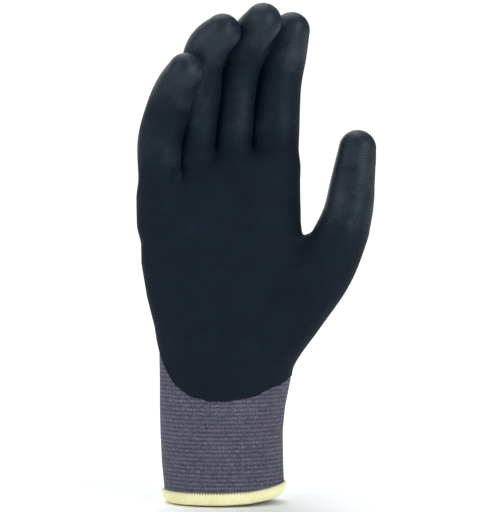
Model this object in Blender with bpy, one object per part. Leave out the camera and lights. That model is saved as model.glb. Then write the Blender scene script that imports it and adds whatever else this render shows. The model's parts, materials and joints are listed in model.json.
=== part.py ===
"""Cut resistant glove, right hand: knitted liner, dipped palm coating and overlocked hem.

Frame: millimetres below, metres in the scene. +Z runs from the wrist opening to the fingertips,
the palm faces -Y and the thumb is on +X. The origin is the centre of the wrist opening.
Each finger is a chain of short sleeves that meet in V-shaped notches on the hinge axes.
"""
import math

import bmesh
import bpy
from mathutils import Matrix, Vector

MM = 0.001

# Layers of the fabric, measured inward from the outside of the coating.
GAP = 0.3
FILM = 0.6
KNIT = 1.0
LINER_OUT = FILM + GAP
LINER_IN = LINER_OUT + KNIT

FINGER_SIDES = 20
HAND_SIDES = 36
DEPTH_RATIO = 1.02
PALMAR_SHIFT = 3.0
JOINT_GAP = 0.5
COAT_HALF_ARC = 120.0

# Outline of cuff and palm: height, rise per mm of x, left, right, half thickness, centre y, power.
OUTLINE = [
    (1.5, 0.00, -28.4, 28.1, 18.3, 0.0, 2.0),
    (8.0, 0.00, -28.6, 28.3, 18.4, 0.0, 2.0),
    (20.0, 0.00, -30.3, 28.4, 18.9, 0.0, 2.0),
    (35.0, 0.00, -31.7, 28.5, 19.1, 0.0, 2.0),
    (47.0, 0.00, -31.9, 29.5, 19.0, 0.0, 2.0),
    (60.0, 0.00, -31.9, 32.0, 18.5, 0.0, 2.1),
    (74.0, 0.00, -32.2, 34.5, 17.9, -0.5, 2.2),
    (88.0, 0.03, -34.3, 38.0, 17.3, -1.0, 2.3),
    (104.0, 0.06, -38.5, 40.0, 16.9, -1.5, 2.4),
    (122.0, 0.10, -41.3, 39.6, 16.3, -2.0, 2.5),
    (140.0, 0.14, -42.5, 38.0, 15.3, -2.2, 2.5),
    (152.0, 0.17, -43.0, 37.4, 13.6, -2.5, 2.5),
    (160.0, 0.20, -41.5, 36.8, 11.0, -3.0, 2.4),
    (164.5, 0.20, -37.0, 33.0, 7.5, -3.2, 2.2),
]
CUFF_ROWS = (1.5, 8.0, 20.0, 34.0, 47.0, 60.0)
HAND_START = 35.0
CROWN_START = 155.0

# Finger centre lines: inside the palm, root joint, middle joint, end joint, centre of the tip dome.
FINGERS = {
    "pinky": dict(
        line=[
            (-31.7, -4, 137.9), (-31.7, -9.5, 167.4), (-27.6, -15, 190.5), (-22.3, -24, 203.6),
            (-17.1, -33.5, 208.9),
        ],
        radii=[8.6, 9.4, 9.2, 8.5, 7.8],
        turn=22.0,
    ),
    "ring": dict(
        line=[
            (-15.9, -2, 141.9), (-11.8, -6, 180.5), (-9.0, -9.5, 201.9), (-4.9, -19, 217.3),
            (0.3, -29.5, 226.9),
        ],
        radii=[9.2, 8.4, 8.5, 8.4, 8.1],
        turn=20.0,
    ),
    "middle": dict(
        line=[(2, -1, 144), (5.5, -3, 181.7), (9.3, -7, 205.2), (15, -14.5, 221.9), (18.8, -22.5, 233.8)],
        radii=[9.0, 8.5, 8.5, 8.4, 8.2],
        turn=18.0,
    ),
    "index": dict(
        line=[(23.5, -1, 145), (26, 1, 182.1), (27.2, 1.5, 206.2), (31, -1, 221.4), (33.2, -4.5, 232.3)],
        radii=[10.3, 10.2, 9.9, 9.3, 8.3],
        turn=16.0,
    ),
}
THUMB = dict(
    line=[(55.5, -8, 129.9), (59.5, -8, 141.8), (61.6, -10, 156.5), (64, -13, 173.8)],
    radii=[13.3, 12.1, 10.9, 9.0],
    turn=-45.0,
)
THENAR = [((16, -2, 60.2), 8.0), ((33.8, -6, 91.3), 12.4), ((46.6, -8, 112.1), 14.8)]

# Bending each joint was notched for: toward the palm, away from it.
ROOT_BEND = (46, 21)
MIDDLE_BEND = (51, 21)
END_BEND = (31, 16)
THUMB_ROOT_BEND = (31, 16)
THUMB_END_BEND = (46, 16)
WRIST = dict(at=(-1.2, 0.0, 47.0), tilt=0.0, bend=(26, 21))
KNUCKLES = dict(at=(-2.0, -3.0, 140.0), tilt=8.5, bend=(31, 11))

KNUCKLE_END = 46.5

# Lower edge of the coating over the palm (x, z) and its side edge seen from the fingertips (x, y).
COAT_LOWER_EDGE = [
    (-80, 80), (-33, 78), (-30.5, 70), (-28.4, 66), (-23.5, 58), (-16, 53), (-7.8, 51), (0.5, 51),
    (7.4, 52), (16.2, 54.4), (27.9, 58.5), (33, 62.5), (80, 70),
]
COAT_SIDE_EDGE = [(-80, -4), (-30, 0), (0, 3), (40, 4), (56, -1), (80, -3)]

# Hem: overlock thread wrapped over the edge of the cuff.
HEM_HEIGHT = 5.6
HEM_WALL = 1.0
HEM_INNER_WALL = 0.8
HEM_FLOOR = 1.2

# Covered elastic yarn carried round the inside of the cuff.
YARN_RADIUS = 0.4
YARN_START = 10.0
YARN_PITCH = 5.2
YARN_TURNS = 5
YARN_SIDES = 5

COLOURS = {
    "knit": ((0.088, 0.090, 0.118, 1), 0.9),
    "coating": ((0.011, 0.015, 0.022, 1), 0.6),
    "hem_thread": ((0.93, 0.91, 0.53, 1), 0.8),
    "elastic": ((0.55, 0.53, 0.52, 1), 0.7),
}


def clear_scene():
    for obj in list(bpy.data.objects):
        bpy.data.objects.remove(obj, do_unlink=True)


def make_materials():
    made = {}
    for name, (colour, rough) in COLOURS.items():
        mat = bpy.data.materials.new(name)
        mat.use_nodes = True
        shader = mat.node_tree.nodes["Principled BSDF"]
        shader.inputs["Base Color"].default_value = colour
        shader.inputs["Roughness"].default_value = rough
        made[name] = mat
    return made


def new_object(name, verts, faces, material=None):
    mesh = bpy.data.meshes.new(name)
    mesh.from_pydata([tuple(v) for v in verts], [], faces)
    bm = bmesh.new()
    bm.from_mesh(mesh)
    bmesh.ops.recalc_face_normals(bm, faces=bm.faces)
    bm.to_mesh(mesh)
    bm.free()
    obj = bpy.data.objects.new(name, mesh)
    bpy.context.collection.objects.link(obj)
    if material:
        mesh.materials.append(material)
    return obj


def loft(rings, start="cap", end="cap"):
    """Vertices and faces of a skin through closed rings; an end may be capped or left open."""
    count = len(rings[0])
    verts = [v for ring in rings for v in ring]
    faces = []
    for r in range(len(rings) - 1):
        for i in range(count):
            j = (i + 1) % count
            faces.append((r * count + i, r * count + j, (r + 1) * count + j, (r + 1) * count + i))
    for which, ring_no in ((start, 0), (end, len(rings) - 1)):
        if which != "cap":
            continue
        centre = sum((Vector(v) for v in rings[ring_no]), Vector()) / count
        verts.append(centre)
        hub = len(verts) - 1
        for i in range(count):
            faces.append((ring_no * count + i, ring_no * count + (i + 1) % count, hub))
    return verts, faces


def boolean(target, other, operation):
    """Applies an exact Boolean to target and removes the other object."""
    for obj in (target, other):
        bm = bmesh.new()
        bm.from_mesh(obj.data)
        bmesh.ops.triangulate(bm, faces=bm.faces)
        bm.to_mesh(obj.data)
        bm.free()
    mod = target.modifiers.new("cut", "BOOLEAN")
    mod.operation = operation
    mod.solver = "EXACT"
    mod.object = other
    graph = bpy.context.evaluated_depsgraph_get()
    mesh = bpy.data.meshes.new_from_object(target.evaluated_get(graph))
    target.modifiers.clear()
    old = target.data
    target.data = mesh
    bpy.data.meshes.remove(old)
    bpy.data.objects.remove(other, do_unlink=True)
    return target


def prism(name, polygon, place, low, high):
    """A polygon (p, q) extruded from low to high; place turns (p, q, e) into a point."""
    rings = [[place(p, q, e) for p, q in polygon] for e in (low, high)]
    count = len(polygon)
    verts = rings[0] + rings[1]
    faces = [tuple(range(count)), tuple(range(2 * count - 1, count - 1, -1))]
    for i in range(count):
        j = (i + 1) % count
        faces.append((i, j, count + j, count + i))
    return new_object(name, verts, faces)


# ---- outline of cuff and palm ---------------------------------------------------------------


def outline_at(height):
    rows = OUTLINE
    for low, high in zip(rows, rows[1:]):
        if height <= high[0]:
            t = (height - low[0]) / (high[0] - low[0])
            return [a + (b - a) * t for a, b in zip(low, high)]
    return list(rows[-1])


def outline_ring(row, offset):
    """One closed ring of the cuff or palm, moved inward by offset."""
    height, rise, left, right, half, centre_y, power = row
    if height == HAND_START or height > CROWN_START:
        height -= offset
    centre_x = (left + right) / 2
    half_x = (right - left) / 2 - offset
    half_y = half - offset
    ring = []
    for i in range(HAND_SIDES):
        angle = 2 * math.pi * i / HAND_SIDES
        c, s = math.cos(angle), math.sin(angle)
        x = half_x * math.copysign(abs(c) ** (2 / power), c)
        y = half_y * math.copysign(abs(s) ** (2 / power), s)
        z = height + rise * (centre_x + x)
        ring.append(Vector((centre_x + x, centre_y + y, z)) * MM)
    return ring


# ---- finger chains --------------------------------------------------------------------------


class Chain:
    """Centre line, hinge axes and notch planes of one finger."""

    def __init__(self, name, data, bends):
        self.name = name
        self.points = [Vector(p) for p in data["line"]]
        self.radii = data["radii"]
        self.bends = bends
        turn = math.radians(data["turn"])
        self.across = Vector((math.cos(turn), math.sin(turn), 0))
        steps = [(b - a).normalized() for a, b in zip(self.points, self.points[1:])]
        self.steps = steps
        self.joints = []
        for k in range(1, len(self.points) - 1):
            normal = (steps[k - 1] + steps[k]).normalized()
            axis = (self.across - normal * self.across.dot(normal)).normalized()
            palmar = axis.cross(normal)
            self.joints.append((self.points[k] + palmar * PALMAR_SHIFT, axis, normal, palmar))

    def frame(self, step):
        direction = self.steps[step]
        across = (self.across - direction * self.across.dot(direction)).normalized()
        return across, across.cross(direction), direction

    def ring(self, point, step, offset, angles):
        """Points of an oval ring about a point of the line, square to one of its steps."""
        across, palmar, _ = self.frame(step)
        radius = self.radii[point]
        wide = radius - offset
        deep = radius * DEPTH_RATIO - offset
        centre = self.points[point]
        return [centre + across * wide * math.cos(a) + palmar * deep * math.sin(a) for a in angles]

    def notch(self, joint, start, end, side):
        """Where the line start-end meets the notched plane below (-1) or above (+1) a joint."""
        at, _, normal, palmar = self.joints[joint]
        bend_in, bend_out = self.bends[joint]
        for sign, bend in ((1, bend_in), (-1, bend_out)):
            slope = math.tan(math.radians(bend / 2))
            plane = normal * side - palmar * sign * slope
            t = (JOINT_GAP / 2 - (start - at).dot(plane)) / (end - start).dot(plane)
            point = start.lerp(end, t)
            if (point - at).dot(palmar) * sign >= -1e-9:
                return point
        return point

    def sleeve(self, step, offset, angles, low_cut=True, high_cut=True, stretch=0.0):
        """Two rings of the straight sleeve of one step, each cut at its joint's notch."""
        low = self.ring(step, step, offset, angles)
        high = self.ring(step + 1, step, offset, angles)
        rings = []
        if low_cut:
            rings.append([self.notch(step - 1, a, b, 1) for a, b in zip(low, high)])
        else:
            rings.append(low)
        if high_cut:
            rings.append([self.notch(step, a, b, -1) for a, b in zip(low, high)])
        else:
            rings.append([b + (b - a).normalized() * stretch for a, b in zip(low, high)])
        return [[p * MM for p in ring] for ring in rings]

    def dome(self, offset, angles, rows=4):
        """Rings of the rounded tip, ending in its pole."""
        last = len(self.points) - 1
        across, palmar, direction = self.frame(last - 1)
        radius = self.radii[last]
        centre = self.points[last]
        rings = []
        for row in range(rows):
            polar = math.pi / 2 * row / rows
            wide = (radius - offset) * math.cos(polar)
            deep = (radius * DEPTH_RATIO - offset) * math.cos(polar)
            level = centre + direction * (radius - offset) * math.sin(polar)
            ring = [level + across * wide * math.cos(a) + palmar * deep * math.sin(a) for a in angles]
            rings.append([p * MM for p in ring])
        return rings, (centre + direction * (radius - offset)) * MM


def round_angles():
    return [2 * math.pi * i / FINGER_SIDES for i in range(FINGER_SIDES)]


def coat_angles():
    count = 13
    low = math.radians(90 - COAT_HALF_ARC)
    high = math.radians(90 + COAT_HALF_ARC)
    return [low + (high - low) * i / (count - 1) for i in range(count)]


def tube_shell(name, outer, inner, material):
    """A sleeve with a wall: outer and inner rings joined at both ends."""
    return new_object(name, *loft(outer + inner[::-1] + [outer[0]], "open", "open"), material)


def weld(obj):
    bm = bmesh.new()
    bm.from_mesh(obj.data)
    bmesh.ops.remove_doubles(bm, verts=bm.verts, dist=1e-7)
    bmesh.ops.recalc_face_normals(bm, faces=bm.faces)
    bm.to_mesh(obj.data)
    bm.free()
    return obj


def cap_shell(name, outer, inner, material):
    """A thimble: outer rings end in a pole and inner rings end in a pole."""
    outer_rings, outer_pole = outer
    inner_rings, inner_pole = inner
    rings = outer_rings[::-1] + inner_rings
    verts, faces = loft(rings, "open", "open")
    count = len(rings[0])
    verts += [outer_pole, inner_pole]
    hub_out = len(verts) - 2
    hub_in = len(verts) - 1
    last = (len(rings) - 1) * count
    for i in range(count):
        j = (i + 1) % count
        faces.append((i, j, hub_out))
        faces.append((last + i, last + j, hub_in))
    return new_object(name, verts, faces, material)


def arc_shell(name, outer, inner, material):
    """A curved strip of film between outer and inner rows of points."""
    count = len(outer[0])
    loops = [o + i[::-1] for o, i in zip(outer, inner)]
    verts = [v for loop in loops for v in loop]
    size = 2 * count
    faces = []
    for r in range(len(loops) - 1):
        for i in range(size):
            j = (i + 1) % size
            faces.append((r * size + i, r * size + j, (r + 1) * size + j, (r + 1) * size + i))
    for base in (0, (len(loops) - 1) * size):
        for i in range(count - 1):
            faces.append((base + i, base + i + 1, base + size - 2 - i, base + size - 1 - i))
    return new_object(name, verts, faces, material)


def finger_segment(chain, step, label, mats):
    """Liner and coating of one straight stretch of a finger, and of its tip if it is the last."""
    last = step == len(chain.points) - 2
    angles = round_angles()
    levels = {"out": 0.0, "film": FILM, "knit": LINER_OUT, "bore": LINER_IN}
    full = {k: chain.sleeve(step, v, angles, True, not last) for k, v in levels.items()}
    liner = f"{chain.name}_{label}_liner"
    coat = f"{chain.name}_{label}_coating"
    if last:
        made = {}
        for key, offset in levels.items():
            rings, pole = chain.dome(offset, angles)
            made[key] = ([full[key][0]] + rings, pole)
        cap_shell(liner, made["knit"], made["bore"], mats["knit"])
        cap_shell(coat, made["out"], made["film"], mats["coating"])
        return
    weld(tube_shell(liner, full["knit"], full["bore"], mats["knit"]))
    arc = coat_angles()
    outer = chain.sleeve(step, 0.0, arc, True, True)
    inner = chain.sleeve(step, FILM, arc, True, True)
    arc_shell(coat, outer, inner, mats["coating"])


# ---- hand shell -----------------------------------------------------------------------------


def hand_solid(chains, thumb, offset, reach):
    """Palm, thumb base and finger roots as one solid, moved inward by offset.

    With reach above 0 the roots run that far past their joints, so that it can hollow another.
    """
    rows = [r for r in OUTLINE if r[0] >= HAND_START]
    solid = new_object("hand", *loft([outline_ring(r, offset) for r in rows]))
    angles = round_angles()
    for chain in chains:
        cut = reach <= 0
        rings = chain.sleeve(0, offset, angles, False, cut, max(reach, 0.0))
        boolean(solid, new_object("root", *loft(rings)), "UNION")
    rings = []
    line = [Vector(p) for p, _ in THENAR] + [thumb.points[0]]
    for k, (centre, radius) in enumerate(THENAR):
        way = (line[k + 1] - line[max(k - 1, 0)]).normalized()
        side = (thumb.across - way * thumb.across.dot(way)).normalized()
        deep = side.cross(way)
        size = radius - offset
        rings.append(
            [(Vector(centre) + side * size * math.cos(a) + deep * size * math.sin(a)) * MM for a in angles]
        )
    rings += thumb.sleeve(0, offset, angles, False, reach <= 0, max(reach, 0.0))
    boolean(solid, new_object("thumb_root", *loft(rings)), "UNION")
    return solid


def region(name, hinge, side, notch=1, low=-130, high=130):
    """Everything on one side of a hinge: short of its notch (1), or with its notch included (-1)."""
    tilt = math.radians(hinge["tilt"])
    axis = Vector((math.cos(tilt), 0, math.sin(tilt)))
    normal = Vector((-math.sin(tilt), 0, math.cos(tilt)))
    palmar = Vector((0, -1, 0))
    at = Vector(hinge["at"])
    bend_in, bend_out = hinge["bend"]
    far = 60
    start = notch * JOINT_GAP / 2
    rise_in = start + notch * far * math.tan(math.radians(bend_in / 2))
    rise_out = start + notch * far * math.tan(math.radians(bend_out / 2))
    polygon = [(-far, rise_out), (0, start), (far, rise_in), (far, 260), (-far, 260)]

    def place(v, w, e):
        return (at + palmar * v + normal * (w * side) + axis * e) * MM

    return prism(name, polygon, place, low, high)


def coat_region():
    lower = COAT_LOWER_EDGE + [(80, 260), (-80, 260)]
    front = prism("front", lower, lambda x, z, e: Vector((x, e, z)) * MM, -70, 30)
    side = COAT_SIDE_EDGE + [(80, -80), (-80, -80)]
    return boolean(front, prism("side", side, lambda x, y, e: Vector((x, y, e)) * MM, 20, 280), "INTERSECT")


def copy_of(obj, name):
    other = bpy.data.objects.new(name, obj.data.copy())
    bpy.context.collection.objects.link(other)
    return other


def finish(obj, name, material):
    obj.name = name
    obj.data.name = name
    obj.data.materials.clear()
    obj.data.materials.append(material)
    bm = bmesh.new()
    bm.from_mesh(obj.data)
    bmesh.ops.remove_doubles(bm, verts=bm.verts, dist=2e-7)
    bm.to_mesh(obj.data)
    bm.free()


def build_hand(chains, thumb, mats):
    """Palm and knuckle section: a knitted shell and a film over its palm side."""
    liner = hand_solid(chains, thumb, LINER_OUT, 0.0)
    boolean(liner, hand_solid(chains, thumb, LINER_IN, 6.0), "DIFFERENCE")
    film = hand_solid(chains, thumb, 0.0, 0.0)
    boolean(film, hand_solid(chains, thumb, FILM, 6.0), "DIFFERENCE")
    boolean(film, coat_region(), "INTERSECT")
    for layer, source, mat in (("liner", liner, "knit"), ("coating", film, "coating")):
        knuckle = copy_of(source, "knuckle")
        boolean(knuckle, region("above", KNUCKLES, 1, 1, -60, KNUCKLE_END), "INTERSECT")
        palm = source
        boolean(palm, region("above", KNUCKLES, 1, -1, -60, KNUCKLE_END), "DIFFERENCE")
        boolean(palm, region("over", WRIST, 1), "INTERSECT")
        finish(palm, f"palm_{layer}", mats[mat])
        finish(knuckle, f"knuckle_{layer}", mats[mat])


# ---- cuff -----------------------------------------------------------------------------------


def build_cuff(mats):
    outer = [outline_ring(outline_at(z), LINER_OUT) for z in CUFF_ROWS]
    inner = [outline_ring(outline_at(z), LINER_IN) for z in CUFF_ROWS]
    cuff = weld(tube_shell("cuff_liner", outer, inner, mats["knit"]))
    boolean(cuff, region("under", WRIST, -1), "INTERSECT")
    finish(cuff, "cuff_liner", mats["knit"])

    profile = [
        (LINER_OUT - GAP - HEM_WALL, 0.0),
        (LINER_OUT - GAP - HEM_WALL, HEM_HEIGHT - 0.5),
        (LINER_OUT - GAP - HEM_WALL + 0.4, HEM_HEIGHT),
        (LINER_OUT - GAP, HEM_HEIGHT),
        (LINER_OUT - GAP, HEM_FLOOR),
        (LINER_IN + GAP, HEM_FLOOR),
        (LINER_IN + GAP, HEM_HEIGHT - 0.8),
        (LINER_IN + GAP + HEM_INNER_WALL, HEM_HEIGHT - 0.8),
        (LINER_IN + GAP + HEM_INNER_WALL, 0.0),
    ]
    rings = []
    for offset, height in profile:
        row = outline_at(1.5)
        if height > 3:
            row = outline_at(HEM_HEIGHT)
        row[0] = height
        rings.append(outline_ring(row, offset))
    weld(new_object("hem_overlock", *loft(rings + [rings[0]], "open", "open"), mats["hem_thread"]))

    rings = []
    steps = YARN_TURNS * HAND_SIDES
    for i in range(steps + 1):
        angle = 2 * math.pi * i / HAND_SIDES
        height = YARN_START + YARN_PITCH * i / HAND_SIDES
        row = outline_at(height)
        inset = LINER_IN + GAP + YARN_RADIUS + 0.1
        centre_x = (row[2] + row[3]) / 2
        half_x = (row[3] - row[2]) / 2 - inset
        half_y = row[4] - inset
        centre = Vector((centre_x + half_x * math.cos(angle), half_y * math.sin(angle), height))
        out = Vector((math.cos(angle) / half_x, math.sin(angle) / half_y, 0)).normalized()
        up = Vector((0, 0, 1))
        turns = [2 * math.pi * k / YARN_SIDES for k in range(YARN_SIDES)]
        rings.append([(centre + (out * math.cos(t) + up * math.sin(t)) * YARN_RADIUS) * MM for t in turns])
    new_object("cuff_elastic", *loft(rings), mats["elastic"])


def set_origin(name, point):
    """Moves an object's origin onto its hinge axis and leaves its shape where it is."""
    obj = bpy.data.objects[name]
    shift = Vector(point) * MM
    obj.data.transform(Matrix.Translation(-shift))
    obj.location = shift


def main():
    clear_scene()
    mats = make_materials()
    bends = [ROOT_BEND, MIDDLE_BEND, END_BEND]
    chains = [Chain(name, data, bends) for name, data in FINGERS.items()]
    thumb = Chain("thumb", THUMB, [THUMB_ROOT_BEND, THUMB_END_BEND])
    build_cuff(mats)
    build_hand(chains, thumb, mats)
    for layer in ("liner", "coating"):
        set_origin(f"palm_{layer}", WRIST["at"])
        set_origin(f"knuckle_{layer}", KNUCKLES["at"])
    for chain in chains + [thumb]:
        labels = ("base", "middle", "tip") if chain is not thumb else ("base", "tip")
        for step, label in enumerate(labels, 1):
            finger_segment(chain, step, label, mats)
            for layer in ("liner", "coating"):
                set_origin(f"{chain.name}_{label}_{layer}", chain.joints[step - 1][0])


main()
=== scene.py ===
"""Cut resistant glove, right hand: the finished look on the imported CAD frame.

The glove is one smooth skin. A distance field of palm, fingers and thumb is meshed, relaxed onto
the field, and clipped into a knitted layer and a coating layer, then into pieces that each cross
one hinge. Lengths are millimetres until a mesh is made; the scene is in metres.
"""
import json
import math

import bpy
import numpy as np
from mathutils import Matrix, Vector

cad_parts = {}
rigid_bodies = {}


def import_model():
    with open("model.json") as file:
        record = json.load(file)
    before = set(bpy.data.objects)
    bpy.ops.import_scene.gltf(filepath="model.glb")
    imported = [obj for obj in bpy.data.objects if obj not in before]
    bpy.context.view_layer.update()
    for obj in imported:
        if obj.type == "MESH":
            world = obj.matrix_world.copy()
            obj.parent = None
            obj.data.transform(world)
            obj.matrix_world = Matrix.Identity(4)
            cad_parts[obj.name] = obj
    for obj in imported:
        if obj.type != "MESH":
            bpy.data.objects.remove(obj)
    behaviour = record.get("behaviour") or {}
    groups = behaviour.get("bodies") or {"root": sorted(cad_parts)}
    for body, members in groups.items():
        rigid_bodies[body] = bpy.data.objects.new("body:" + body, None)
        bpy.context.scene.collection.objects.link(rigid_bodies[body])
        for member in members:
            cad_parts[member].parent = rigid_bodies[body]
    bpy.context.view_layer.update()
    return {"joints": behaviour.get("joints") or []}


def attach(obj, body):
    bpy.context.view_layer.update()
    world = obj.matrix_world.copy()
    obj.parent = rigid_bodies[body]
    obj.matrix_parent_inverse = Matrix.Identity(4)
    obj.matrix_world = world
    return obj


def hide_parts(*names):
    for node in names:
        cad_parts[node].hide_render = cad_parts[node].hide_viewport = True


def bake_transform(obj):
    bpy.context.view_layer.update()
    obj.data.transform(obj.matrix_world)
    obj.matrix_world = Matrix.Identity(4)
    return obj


for leftover in list(bpy.data.objects):
    bpy.data.objects.remove(leftover)

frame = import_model()

MM = 0.001
VOXEL = 0.95
SKIN_BOX = ((-48, -50, -6), (80, 26, 248))  # room for the whole skin
LIMB_REACH = 14  # a limb's field is worked out this far round its line
FAR = 40.0  # and counts as this much beyond
RELAX_TURNS = 5  # rounds of evening out the skin's vertices
RELAX_SHARE = 0.6
LONGEST_MOVE = 1.5  # a vertex moves no further than this toward the skin in one round
# Limbs are meshed this much thinner and then swell to size, so that neighbours stay apart.
SHRINK = {"pinky": 2.6, "ring": 1.8, "middle": 1.1, "index": 1.1, "thumb": 1.1}
SEED = 7

# Outline of cuff and palm: height, rise per mm of x, left, right, half thickness, centre y, power.
OUTLINE = np.array(
    [
        (-12.0, 0.00, -29.0, 28.7, 18.6, 0.0, 2.0),
        (1.5, 0.00, -29.1, 28.8, 18.6, 0.0, 2.0),
        (8.0, 0.00, -30.1, 30.1, 18.9, 0.0, 2.0),
        (20.0, 0.00, -31.3, 29.6, 19.2, 0.0, 2.0),
        (35.0, 0.00, -32.0, 29.4, 19.3, 0.0, 2.0),
        (47.0, 0.00, -32.3, 30.6, 19.2, 0.0, 2.0),
        (60.0, 0.00, -32.3, 33.2, 18.7, 0.0, 2.1),
        (74.0, 0.00, -32.5, 35.0, 17.9, -0.5, 2.2),
        (88.0, 0.03, -34.5, 38.0, 17.3, -1.0, 2.3),
        (104.0, 0.06, -38.3, 40.0, 16.9, -1.5, 2.4),
        (122.0, 0.10, -40.8, 39.2, 16.3, -2.0, 2.6),
        (140.0, 0.14, -41.0, 37.0, 15.3, -2.2, 2.7),
        (152.0, 0.17, -40.9, 35.6, 13.6, -2.5, 2.7),
        (180.0, 0.20, -40.4, 34.6, 10.0, -3.0, 2.5),
    ]
)
# Top of the webs between the fingers, as height over x.
CROWN = np.array(
    [(-50, 156), (-34, 158), (-23, 160), (-13, 165), (-4, 171), (13, 172.5), (40, 172)], float
)
CROWN_SOFT = 9.0  # how roundly the palm's sides meet the crown
FINGER_WEB = 5.0  # how softly a finger grows out of the palm
# The same for the thumb, over height.
THUMB_WEB = np.array([(66, 4), (84, 11), (104, 13), (136, 4)], float)

# Limbs of the filled glove, from inside the palm to the centre of the tip: x, y, z, radius.
LIMB_LINES = {
    "pinky": [
        (-31.5, -4.5, 138.0, 9.8), (-31.4, -8.5, 160.0, 10.4), (-31.0, -11.5, 177.0, 10.9),
        (-27.0, -16.5, 191.5, 10.6), (-22.6, -24.5, 201.5, 9.8), (-17.5, -33.0, 208.4, 8.6),
    ],
    "ring": [
        (-14.6, -2.0, 142.0, 8.8), (-13.0, -6.0, 175.0, 8.7), (-10.7, -12.0, 200.0, 9.4),
        (-10.3, -17.0, 213.0, 10.2), (-7.0, -23.5, 221.8, 10.0), (-0.2, -29.5, 227.4, 8.7),
    ],
    "middle": [
        (3.6, -1.0, 144.0, 8.8), (4.7, -3.0, 176.0, 9.2), (6.6, -6.0, 204.0, 9.4),
        (9.6, -10.5, 218.0, 9.6), (13.2, -17.0, 227.0, 9.7), (19.0, -22.5, 233.4, 9.0),
    ],
    "index": [
        (23.4, -1.0, 145.0, 11.6), (25.0, 0.8, 178.0, 12.0), (26.5, 1.5, 205.0, 11.6),
        (29.8, -0.5, 220.5, 10.9), (33.2, -4.0, 232.2, 9.0),
    ],
    "thumb": [
        (16.0, -2.0, 60.0, 8.0), (34.6, -6.0, 91.5, 12.6), (47.4, -8.0, 112.5, 14.8),
        (56.2, -8.0, 129.5, 13.4), (60.6, -8.0, 142.0, 12.2), (62.9, -10.0, 157.0, 11.0),
        (64.9, -13.0, 173.4, 9.1),
    ],
}
# How far each limb's palm side is turned about the upright, in degrees.
LIMB_TURNS = {"pinky": 22.0, "ring": 20.0, "middle": 18.0, "index": 16.0, "thumb": -45.0}
LIMBS = list(LIMB_LINES)
LINE_STEP = 2.5  # length of the straight steps that a limb's curve is drawn with

# Dents in the skin: start, end, depth, half width.
FOLDS = [
    ((42.5, -6.0, 135.0), (37.5, -16.0, 128.5), 1.5, 1.3),
    ((43.5, 3.0, 135.0), (39.5, 9.0, 128.0), 1.0, 1.6),
    ((-1.0, -19.0, 62.0), (-2.0, -20.0, 80.0), 0.9, 9.0),
    ((-4.0, -20.0, 104.0), (4.0, -20.0, 122.0), 1.2, 16.0),
    ((74.0, -8.0, 160.0), (74.0, -8.0, 157.0), 0.7, 4.0),
    ((-24.5, -18.0, 151.0), (-22.5, -16.0, 161.0), 0.7, 3.0),
    ((-6.0, -18.0, 163.0), (-4.5, -14.0, 173.0), 0.7, 3.0),
    ((12.0, -18.0, 163.0), (13.5, -14.0, 174.0), 0.7, 3.0),
]

# Where the skin bends at each hinge: from and to, along the way toward the tip.
ROOT_BAND = (-5.0, 7.0)
THUMB_ROOT_BAND = (-0.5, 6.5)
JOINT_BAND = (-6.0, 6.0)

# Coating: lower edge over the palm (x, z) and back edge seen from the fingertips (x, y).
COAT_LOWER = np.array(
    [
        (-50, 78), (-33, 77), (-30.5, 70), (-28.4, 66), (-23.5, 58.5), (-16, 53.5), (-7.8, 51.2),
        (0.5, 51), (7.4, 52), (16.2, 54.4), (27.9, 58.5), (33, 62.5), (60, 66),
    ],
    float,
)
COAT_BACK = np.array(
    [(-50, -4), (-32, -4), (-12, -1.5), (5, 1.5), (26, 5), (40, 5), (56, 0), (80, -3)], float
)
COAT_WRAP = 0.5  # on a limb the coating reaches this share of the radius behind the middle
COAT_TIP = 5  # behind a tip the coating starts this far short of the end of the centre line
COAT_TIP_SLOPE = 1.2
# Gloss of a finger's coating, and its painted highlight, over the distance from the end of its centre
# line.
TIP_GLOSS_AND_HIGHLIGHT = np.array([(0, 1.0), (10, 1.0), (22, 0.35), (36, 0.35), (50, 0.7)])
KNIT_SINK = 0.45  # the knit lies this far under the coating's outer face
COAT_RIM = 0.7  # depth of the coating's folded-in edge
LINER_WALL = 1.0

CUFF_CUT = 63.0  # the cuff's piece ends here, past the wrist's bend
INNER_TOP = 52.0  # the cuff's inner wall is drawn up to here
CUFF_END = 2.6  # height of the knit's lower edge, hidden in the hem
HEM_BASE = 1.3  # height of the hem's lower end
HEM_TOP = 5.1  # height of the hem, above HEM_BASE
HEM_OUT = 0.55  # the hem stands this far out of the cuff's outline
HEM_IN = 3.05  # the hem's inner face lies this far inside the outline
HEM_ROUND = 1.5  # the hem's outer face curves in by this much at its lower edge
HEM_STITCHES = 132
STITCH_COLUMNS = 8  # mesh columns to a stitch
THREAD_OUT = 0.28  # the upright threads stand out by this much
THREAD_IN = 0.18
TOP_LOOPS = 0.22
LOWER_BEAD = 0.16
THREAD_LEAN = 0.012  # the threads lean by this many radians over the hem's height
SCALLOP = 1.1  # height of the loops along the hem's upper edge
# Lift of the hem's edge over x.
HEM_LIFT = np.array([(-30, -0.7), (-15, -0.2), (0, 0), (12, 0.5), (22, 1.6), (30, 3.0)], float)

WALES = 92  # columns of stitches round the palm
FINGER_WALES = 38
THUMB_WALES = 46
COURSE = 2.0  # height of a row of stitches
WALE_OVAL = (38, 17)  # half axes of the oval that the palm's wales are spread evenly round
RIDGE = 1.25  # spacing of the cross ridges in the coating

ELASTIC_TURNS = 5
ELASTIC_START = 10.0
ELASTIC_PITCH = 5.2
ELASTIC_IN = 2.75  # the yarn's middle lies this far inside the outline
ELASTIC_RADIUS = 0.4

CAMERA_DISTANCE = 0.70  # metres, as are the four below
PICTURE_WIDTH = 0.2472  # seen at the glove's middle plane
PICTURE_MIDDLE = (0.01274, 0.1213)  # x and z
FLOOR_SIZE = 8.0  # half the side of the floor
FLOOR_DROP = 0.0002


# ---- the shape as a distance field ------------------------------------------------------------


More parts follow.
